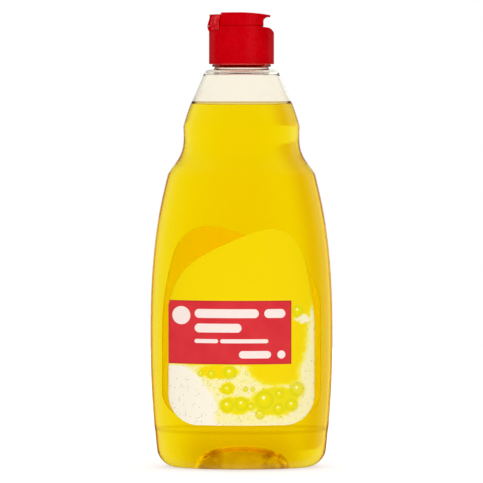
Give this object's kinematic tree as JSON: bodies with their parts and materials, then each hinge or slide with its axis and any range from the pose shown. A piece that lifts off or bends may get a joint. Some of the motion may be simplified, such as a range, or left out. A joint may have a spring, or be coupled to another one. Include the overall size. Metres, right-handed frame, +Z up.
{
  "type": "dish soap bottle",
  "caption": "Flattened clear squeeze bottle of yellow washing-up liquid with wrapped labels and a red press-on cap whose lid flips open on a moulded hinge.",
  "frame": {"origin": "centre of the bounding box on the plane that the bottle stands on", "axes": "+Z up along the bottle's neck, front label facing -Y, lid hinge at -X and thumb lip at +X"},
  "size_m": [0.0873, 0.052, 0.2177],
  "materials": {
    "clear_pet": "gloss",
    "lemon_liquid": "gloss",
    "label_film": "satin",
    "red_cap": "gloss"
  },
  "bodies": {
    "filled_bottle": {"bottle": "clear_pet", "liquid": "lemon_liquid", "front_label": "label_film", "back_label": "label_film", "cap_base": "red_cap", "living_hinge": "red_cap"},
    "lid": {"flip_lid": "red_cap"}
  },
  "joints": [
    {"name": "lid_hinge", "type": "hinge", "parent": "filled_bottle", "child": "lid", "pos_m": [-0.0163, 0, 0.2115], "axis": [0, -1, 0], "range_deg": [0, 150], "deforming": ["living_hinge"]}
  ]
}
